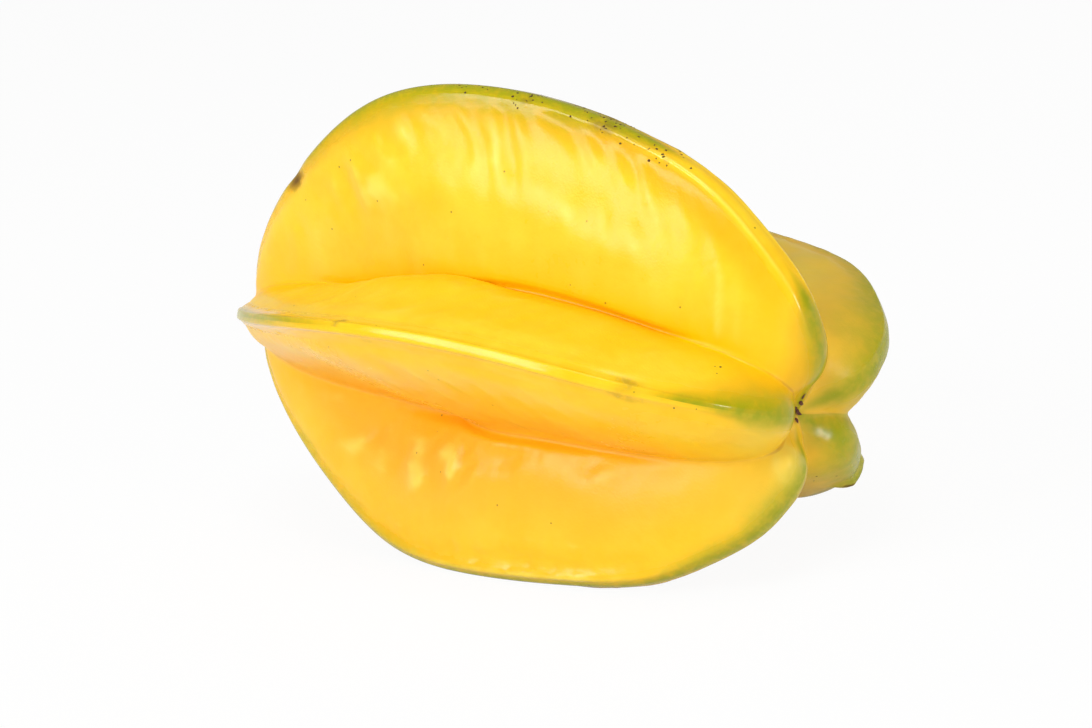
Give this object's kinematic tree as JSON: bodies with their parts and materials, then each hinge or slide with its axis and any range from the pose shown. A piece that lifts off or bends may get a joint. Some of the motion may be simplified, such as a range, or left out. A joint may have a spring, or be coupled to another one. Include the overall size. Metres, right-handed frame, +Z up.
{
  "type": "star fruit",
  "caption": "Whole ripe star fruit with tall waxy ribs around its core, lying at rest on the edges of its lower ribs.",
  "frame": {"origin": "middle of the bounding box at its base, on the surface that the fruit lies on", "axes": "+X along the core towards the stem end, +Z up, +Y to the far side when the stem end is on the right"},
  "size_m": [0.111, 0.0742, 0.0714],
  "materials": {
    "skin": "waxy, slightly translucent golden skin, greener along the rib edges and at the stem end",
    "dry_calyx": "dry, matt, dark maroon-brown plant tissue"
  },
  "bodies": {
    "root": {"fruit_body": "skin", "calyx_remnant": "dry_calyx"}
  },
  "joints": []
}
